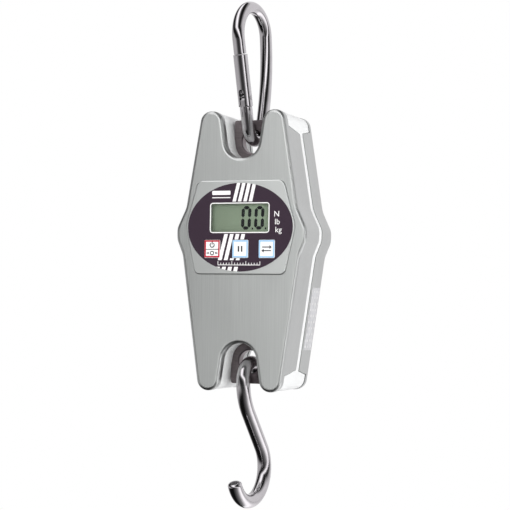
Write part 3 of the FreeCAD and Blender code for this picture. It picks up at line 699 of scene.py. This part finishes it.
# ---------------------------------------------------------------- the user's values
class CraneScaleSizes(bpy.types.PropertyGroup):
    """Sizes in millimetres of what this script adds to the frame."""
    wire_radius: FloatProperty(name="Carabiner rod radius", description="Half the carabiner rod's diameter, mm",
                               default=3.5, min=1.0, max=3.5)
    hook_radius: FloatProperty(name="Hook rod radius", description="Half the hook rod's diameter, mm",
                               default=4.0, min=1.0, max=4.0)
    hook_end_round: FloatProperty(name="Hook end rounding", description="Radius of the edge at both hook ends, mm",
                                  default=1.6, min=0.2, max=3.5)
    ink_thickness: FloatProperty(name="Print thickness", description="How far a print stands proud, mm",
                                 default=0.025, min=0.01, max=0.1)
    digit_width: FloatProperty(name="Digit width", description="Between the display digit's side strokes, mm",
                               default=3.9, min=2.0, max=7.0)
    digit_height: FloatProperty(name="Digit height", description="Between the top and bottom strokes, mm",
                                default=11.3, min=5.0, max=13.0)
    digit_stroke: FloatProperty(name="Digit stroke", description="Width of a display segment, mm",
                                default=1.9, min=0.4, max=2.4)
    key_border: FloatProperty(name="Key border", description="Width of the coloured line round each key, mm",
                              default=0.85, min=0.2, max=2.0)
    stripes: IntProperty(name="Stripes", description="Number of slanted stripes across the panel",
                         default=4, min=1, max=8)


def colour_property(name, description, hex_colour):
    """Colour property whose default is an sRGB hex colour."""
    return FloatVectorProperty(name=name, description=description, subtype="COLOR", size=3, min=0.0, max=1.0,
                               default=linear(hex_colour)[:3])


class CraneScaleColours(bpy.types.PropertyGroup):
    """Base colours of the finishes."""
    sheet: colour_property("Brushed sheet", "Stainless covers", "c3c6c4")
    rods: colour_property("Polished rods", "Carabiner and hook", "c6c4c6")
    core: colour_property("White core", "Moulded core between the covers", "eceeed")
    film: colour_property("Panel film", "Dark oval round the display", "342733")
    white_ink: colour_property("White print", "Stripes, unit marks and key faces", "f0f0ee")
    lcd: colour_property("Display", "Reflector of the liquid crystal display", "82927c")
    red_ink: colour_property("Red print", "Border of the power key", "b4082c")
    blue_ink: colour_property("Blue print", "Borders of the hold and unit keys", "9cc6ea")
    dark_ink: colour_property("Dark print", "Key signs and display digits", "20242a")


def scene_values(context):
    """Sizes, and colours as RGBA tuples by name."""
    colours = context.scene.crane_scale_colours
    names = CraneScaleColours.__annotations__
    return context.scene.crane_scale_sizes, {name: (*getattr(colours, name), 1.0) for name in names}


# ---------------------------------------------------------------- operators
class CRANESCALE_OT_covers(bpy.types.Operator):
    """Finish the stainless covers, the white core, the gaskets, the label and the screws"""
    bl_idname = "crane_scale.covers"
    bl_label = "Covers and core"

    def execute(self, context):
        _, colours = scene_values(context)
        dress(brushed_stainless(colours["sheet"]), "front_cover", "rear_cover", "battery_door")
        dress(moulded_abs("white_abs", colours["core"], 0.42, 0.10), "core_frame")
        dress(black_rubber(), "front_gasket", "rear_gasket", "battery_door_seal", "load_cell_seals")
        dress(printed_label(linear("cdcdcd"), linear("a0a2a6")), "side_label")
        dress(turned_steel("turned_stainless", linear("a8a8a8"), 0.30),
              "housing_screws", "battery_door_screws", "load_cell_screws", "board_screws")
        return {"FINISHED"}


class CRANESCALE_OT_insides(bpy.types.Operator):
    """Finish the load cell, the board, the battery parts and the display's holder"""
    bl_idname = "crane_scale.insides"
    bl_label = "Load cell, board and battery"

    def execute(self, context):
        dress(cell_steel_painted_dark(), "load_cell")
        dress(gauge_foil(), "strain_gauges")
        dress(green_board(), "main_board")
        dress(moulded_abs("black_abs", linear("1e1e20"), 0.45, 0.12),
              "lcd_holder", "battery_tray", "board_connector", "board_chips", "key_switches")
        dress(shrink_sleeve(), "battery_cells")
        dress(turned_steel("spring_steel", linear("9c9a96"), 0.25), "battery_contacts", "battery_springs")
        return {"FINISHED"}


class CRANESCALE_OT_rods(bpy.types.Operator):
    """Make the carabiner body and the S hook as smooth polished bars and finish the gate"""
    bl_idname = "crane_scale.rods"
    bl_label = "Carabiner, gate and hook"

    def execute(self, context):
        sizes, colours = scene_values(context)
        polished = polished_stainless_rod("polished_stainless_rod", colours["rods"], 0.08)
        reaches = (GATE_ENDS[1] - PIVOT_UP + GATE_GAP, PIVOT_UP - GATE_ENDS[0] + GATE_GAP)
        body = rod("carabiner_body", carabiner_path(), sizes.wire_radius, 0.15, reaches)
        finish_piece(body, polished, "carabiner")
        tongue = tongue_plate("carabiner_tongue", TONGUE_HALF, reaches[1] + 2.5)
        finish_piece(tongue, polished_stainless_part(shade(colours["rods"], 0.9)), "carabiner")
        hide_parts("carabiner_frame")
        hook = rod("s_hook", hook_path(), sizes.hook_radius, sizes.hook_end_round)
        satin = polished_stainless_rod("satin_stainless_rod", colours["rods"], 0.16)
        finish_piece(hook, satin, "hook")
        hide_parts("hook")
        dress(polished_stainless_part(colours["rods"]), "carabiner_gate", "gate_plunger")
        dress(turned_steel("turned_rivet", linear("b4b2b4"), 0.22), "gate_pivot_rivet")
        dress(turned_steel("gate_spring_wire", linear("8e8c8a"), 0.25), "gate_spring")
        return {"FINISHED"}


class CRANESCALE_OT_panel_film(bpy.types.Operator):
    """Finish the dark oval film and print its stripes, its plain block and its unit marks"""
    bl_idname = "crane_scale.panel_film"
    bl_label = "Panel film and prints"

    def execute(self, context):
        sizes, colours = scene_values(context)
        dress(printed_film("dark_film", colours["film"]), "keypad_overlay")
        dress(window_trim(colours["white_ink"], colours["film"]), "lcd_frame_trim")
        front, back = FILM_Y - sizes.ink_thickness, FILM_Y + 0.01
        window_low, window_high = WINDOW[2] - WINDOW_FRAME, WINDOW[3] + WINDOW_FRAME
        key_low, key_high = KEY_Z - KEY_SIZE[1] / 2 - 0.3, KEY_Z + KEY_SIZE[1] / 2 + 0.3
        words_low, words_high = -9.3, -5.6
        count = sizes.stripes
        outlines = []
        for index in range(count):
            beside_key = index < count // 2
            spans = [(None, words_low), (words_high, window_low if beside_key else key_low),
                     (window_high, None)]
            if not beside_key:
                spans.append((key_high, window_low))
            outlines += [stripe(index, count, low, high) for low, high in spans]
        # a plain block over a thin rule, left of the stripes
        outlines.append(round_bar(-16.6, -5.6, 30.9, 33.2, 0.5))
        outlines.append(bar(-16.6, -5.6, 29.1, 29.6))
        white = printed_film("white_ink", colours["white_ink"], 0.4)
        finish_piece(plates("panel_stripes", outlines, front, back), white, "housing")
        words = [("N", 4.4, 22.0, 19.9), ("lb", 4.4, 22.4, 15.6), ("kg", 4.4, 23.1, 11.2)]
        marks = lettering("panel_marks", words, front, back)
        finish_piece(marks, white, "housing")
        # a plain ruled scale without numbers: fifteen equal spaces, every fifth tick taller
        ticks = [bar(x - 0.16, x + 0.16, -8.0, -6.2 if i % 5 == 0 else -7.0)
                 for i, x in enumerate(np.linspace(-12.5, 12.5, 16))]
        rule = plates("panel_range_rule", [bar(-12.66, 12.66, -8.4, -8.05), *ticks], front, back)
        finish_piece(rule, white, "housing")
        return {"FINISHED"}


class CRANESCALE_OT_display(bpy.types.Operator):
    """Finish the display and its window and set its digits"""
    bl_idname = "crane_scale.display"
    bl_label = "Display"

    def execute(self, context):
        sizes, colours = scene_values(context)
        dress(reflective_lcd(colours["lcd"]), "lcd_glass")
        dress(clear_acrylic(), "lcd_window")
        outlines = []
        for x in (0.85, 8.6):
            outlines += seven_segments(x, 12.45, sizes.digit_width, sizes.digit_height, sizes.digit_stroke,
                                       "abcdef", 0.035)
        for x in (6.3, 14.1):
            outlines.append(bar(x, x + 0.9, 11.6, 12.7))
        digits = plates("lcd_digits", outlines, GLASS_Y - 0.03, GLASS_Y + 0.01)
        black = printed_film("lcd_segment", shade(colours["dark_ink"], 0.3), 0.6)
        finish_piece(digits, black, "housing")
        return {"FINISHED"}


class CRANESCALE_OT_keys(bpy.types.Operator):
    """Finish the three film keys with coloured borders and plain signs"""
    bl_idname = "crane_scale.keys"
    bl_label = "Keys"

    def signs(self, x):
        """Sign outlines by key: power over zero, two bars, two arrows."""
        low, high = KEY_Z - 2.35, KEY_Z + 2.15
        power = [arc_band(x, high, 1.5, 0.55, 125, 415), bar(x - 0.28, x + 0.28, high + 0.2, high + 1.8),
                 bar(x - 4.0, x + 4.0, KEY_Z - 0.45, KEY_Z - 0.05)]
        power += [arc_band(x, low, 1.25, 0.5, 0, 180), arc_band(x, low, 1.25, 0.5, 180, 360)]
        for side in (-1, 1):
            tip, tail = x + side * 1.7, x + side * 3.3
            power.append([(tip, low), (tip + side * 0.8, low - 0.8), (tip + side * 0.8, low - 0.26),
                          (tail, low - 0.26), (tail, low + 0.26), (tip + side * 0.8, low + 0.26),
                          (tip + side * 0.8, low + 0.8)])
        hold = [bar(x + side * 0.95 - 0.42, x + side * 0.95 + 0.42, KEY_Z - 1.6, KEY_Z + 1.6) for side in (-1, 1)]
        unit = [[(x + side * p, KEY_Z + side * q) for p, q in
                 ((3.0, 1.0), (1.7, 2.1), (1.7, 1.3), (-2.6, 1.3), (-2.6, 0.7), (1.7, 0.7), (1.7, -0.1))]
                for side in (1, -1)]
        return {"key_power": power, "key_hold": hold, "key_unit": unit}

    def execute(self, context):
        sizes, colours = scene_values(context)
        face = printed_film("white_key_film", colours["white_ink"], 0.38)
        inks = {"key_power": "red_ink", "key_hold": "blue_ink", "key_unit": "blue_ink"}
        dark = printed_film("dark_ink", colours["dark_ink"], 0.45)
        front, back = KEY_TOP_Y - sizes.ink_thickness, KEY_TOP_Y + 0.01
        half_x, half_z = KEY_SIZE[0] / 2 - 0.15, KEY_SIZE[1] / 2 - 0.15
        for key, x in KEY_CENTRES.items():
            dress(face, key)
            border = frame_bars(x - half_x, x + half_x, KEY_Z - half_z, KEY_Z + half_z, sizes.key_border)
            finish_piece(plates(key + "_border", border, front, back), printed_film(inks[key], colours[inks[key]]),
                         key)
            finish_piece(plates(key + "_sign", self.signs(x)[key], front, back), dark, key)
        return {"FINISHED"}


class CRANESCALE_OT_stage(bpy.types.Operator):
    """Set the pale floor, the studio light and the camera"""
    bl_idname = "crane_scale.stage"
    bl_label = "Stage"

    def floor(self):
        """Round pale floor below the hanging scale: rings of points at growing radii, closed on themselves."""
        radii = np.array([0.0005, 0.4, 0.8, 1.2, 1.5])[:, None]
        a = np.linspace(0, 2 * np.pi, 64, endpoint=False)[None, :]
        x, y = radii * np.cos(a), radii * np.sin(a)
        points = np.stack([x, y, np.full_like(x, FLOOR_Z)], -1).reshape(-1, 3) / MM - HOUSING_ORIGIN
        floor = mesh_object("floor", points, [*grid_faces(5, 64, wrap=True), range(64)])
        material, tree, shader = new_material("matt_white_paper", linear("f4f4f4"), 0.0, 0.85)
        tooth = noise(tree, (300.0, 300.0, 300.0), 3.0)
        bump(tree, shader, tooth.outputs["Fac"], 0.05, 0.0005)
        floor.data.materials.append(material)
        floor.visible_glossy = False

    def softbox(self, name, location, target, size, energy):
        """Rectangular lamp aimed at a target, size in metres, hidden from reflections unless shown again."""
        light = bpy.data.lights.new(name, "AREA")
        light.shape = "RECTANGLE"
        light.size, light.size_y = size
        light.energy = energy
        lamp = bpy.data.objects.new(name, light)
        lamp.visible_glossy = False
        bpy.context.scene.collection.objects.link(lamp)
        lamp.location = location
        aim = bpy.data.objects.new(name + "_aim", None)
        bpy.context.scene.collection.objects.link(aim)
        aim.location = target
        track = lamp.constraints.new("TRACK_TO")
        track.target = aim
        track.track_axis, track.up_axis = "TRACK_NEGATIVE_Z", "UP_Y"
        return lamp

    def room(self):
        """White room whose walls hold bright panels and black flags, drawn by direction from the scale.

        The scale's polished rods mirror them. The room itself is plain white behind the scale.
        """
        world = bpy.data.worlds.new("studio")
        bpy.context.scene.world = world
        world.use_nodes = True
        tree = world.node_tree
        coords = add(tree, "ShaderNodeTexCoord")
        ray = coords.outputs["Generated"]
        facing = math.radians(STUDIO_DEG)
        right = add(tree, "ShaderNodeVectorMath", {"operation": "DOT_PRODUCT",
                                                   1: (math.cos(facing), math.sin(facing), 0.0)}, i0=ray)
        front = add(tree, "ShaderNodeVectorMath", {"operation": "DOT_PRODUCT",
                                                   1: (math.sin(facing), -math.cos(facing), 0.0)}, i0=ray)
        height = add(tree, "ShaderNodeSeparateXYZ", Vector=ray).outputs["Z"]
        steep = add(tree, "ShaderNodeMath", {"operation": "ABSOLUTE"}, i0=height)
        ahead = add(tree, "ShaderNodeMath", {"operation": "ADD"}, i0=front.outputs["Value"], i1=steep.outputs[0])
        compass = add(tree, "ShaderNodeMath", {"operation": "ARCTAN2"}, i0=right.outputs["Value"],
                      i1=ahead.outputs[0])
        # the panel and the flags lean, so that low down they stand further to the right
        lean = add(tree, "ShaderNodeMapRange", {"From Min": -0.35, "From Max": 0.35, "To Min": -1.20, "To Max": 0.33},
                   Value=height)
        leant = add(tree, "ShaderNodeMath", {"operation": "ADD"}, i0=lean.outputs["Result"], i1=compass.outputs[0])
        turn = add(tree, "ShaderNodeMapRange", {"From Min": -math.pi, "From Max": math.pi}, Value=leant.outputs[0])
        # degrees to the right of the panel's middle and the brightness there: above, level with and below the scale
        above = ((-180, 0.34), (-108, 0.34), (-88, 0.04), (-80, 0.008), (-40, 0.008), (-26, 0.16), (-12, 0.75),
                 (-5, 1.0), (4, 1.0), (13, 0.22), (22, 0.01), (44, 0.01), (58, 0.24), (78, 0.50), (180, 0.50))
        level = ((-180, 0.34), (-108, 0.34), (-84, 0.04), (-52, 0.015), (-36, 0.12), (-20, 0.45), (-8, 0.95),
                 (10, 0.90), (26, 0.44), (180, 0.50))
        below = ((-180, 0.02), (-120, 0.004), (-84, 0.004), (-66, 0.06), (-46, 0.17), (-30, 0.52), (-14, 0.95),
                 (10, 0.98), (28, 0.62), (52, 0.54), (180, 0.54))
        ramps = [ramp(tree, turn.outputs["Result"], [(deg / 360 + 0.5, grey(value)) for deg, value in stops])
                 for stops in (above, level, below)]
        colour = ramps[0].outputs["Color"]
        for lower, top, bottom in ((ramps[1], -0.16, -0.21), (ramps[2], -0.25, -0.50)):
            drop = add(tree, "ShaderNodeMapRange", {"From Min": top, "From Max": bottom}, Value=height)
            colour = add(tree, "ShaderNodeMix", {"data_type": "RGBA"}, i0=drop.outputs["Result"], i6=colour,
                         i7=lower.outputs["Color"]).outputs[2]
        strength = add(tree, "ShaderNodeMath", {"operation": "MULTIPLY", 1: ROOM_STRENGTH}, i0=colour)
        seen = add(tree, "ShaderNodeLightPath")
        lit = add(tree, "ShaderNodeBackground", {"Color": (1.0, 0.98, 1.0, 1.0)}, Strength=strength.outputs[0])
        plain = add(tree, "ShaderNodeBackground", {"Color": grey(1.0), "Strength": 1.0})
        both = add(tree, "ShaderNodeMixShader", i0=seen.outputs["Is Camera Ray"], i1=lit.outputs[0],
                   i2=plain.outputs[0])
        tree.links.new(both.outputs[0], tree.nodes["World Output"].inputs["Surface"])
        tree.nodes.remove(tree.nodes["Background"])

    def execute(self, context):
        context.scene.view_settings.view_transform = "Standard"
        self.floor()
        self.room()
        middle = (0.0, 0.0, -0.13)
        self.softbox("key_softbox", (-0.7, -1.3, 0.45), middle, (0.9, 0.7), 9.0)
        self.softbox("fill_softbox", (1.0, -0.65, 0.0), middle, (0.8, 1.0), 10.5)
        # the covers alone get a broad panel that they mirror softly towards the camera
        covers = bpy.data.collections.new("covers_lit_by_panels")
        for node in ("front_cover", "rear_cover", "battery_door", "housing_screws", "battery_door_screws"):
            covers.objects.link(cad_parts[node])
        # a narrow strip to the right draws a bright line along their rounded edges
        for name, location, size, energy in (("cover_panel", (-0.14, -1.50, -0.12), (0.9, 1.4), 4.8),
                                             ("edge_strip", (1.25, -0.80, -0.13), (0.16, 1.4), 2.6)):
            lamp = self.softbox(name, location, middle, size, energy)
            lamp.visible_glossy = True
            lamp.light_linking.receiver_collection = covers
        camera = bpy.data.objects.new("camera", bpy.data.cameras.new("camera"))
        context.scene.collection.objects.link(camera)
        camera.data.sensor_width = 36.0
        camera.data.lens = 107.072
        camera.location = (0.30675, -0.80278, -0.16731)
        camera.rotation_euler = [math.radians(deg) for deg in (92.0, -0.8502, 20.6553)]
        context.scene.camera = camera
        return {"FINISHED"}


class CRANESCALE_PT_sidebar(bpy.types.Panel):
    """Lists the values and the steps in the 3D view's sidebar"""
    bl_idname = "CRANESCALE_PT_sidebar"
    bl_label = "Crane Scale"
    bl_space_type = "VIEW_3D"
    bl_region_type = "UI"
    bl_category = "Crane Scale"

    def draw(self, context):
        for group in (context.scene.crane_scale_sizes, context.scene.crane_scale_colours):
            for name in group.__annotations__:
                self.layout.prop(group, name)
        for step in STEPS:
            self.layout.operator(step.bl_idname)


STEPS = (CRANESCALE_OT_covers, CRANESCALE_OT_insides, CRANESCALE_OT_rods, CRANESCALE_OT_panel_film,
         CRANESCALE_OT_display, CRANESCALE_OT_keys, CRANESCALE_OT_stage)
CLASSES = (CraneScaleSizes, CraneScaleColours, *STEPS, CRANESCALE_PT_sidebar)


def register():
    for item in CLASSES:
        bpy.utils.register_class(item)
    bpy.types.Scene.crane_scale_sizes = PointerProperty(type=CraneScaleSizes)
    bpy.types.Scene.crane_scale_colours = PointerProperty(type=CraneScaleColours)


def unregister():
    del bpy.types.Scene.crane_scale_colours
    del bpy.types.Scene.crane_scale_sizes
    for item in reversed(CLASSES):
        bpy.utils.unregister_class(item)


def main():
    register()
    for step in STEPS:
        group, name = step.bl_idname.split(".")
        getattr(getattr(bpy.ops, group), name)()


if __name__ == "__main__":
    main()
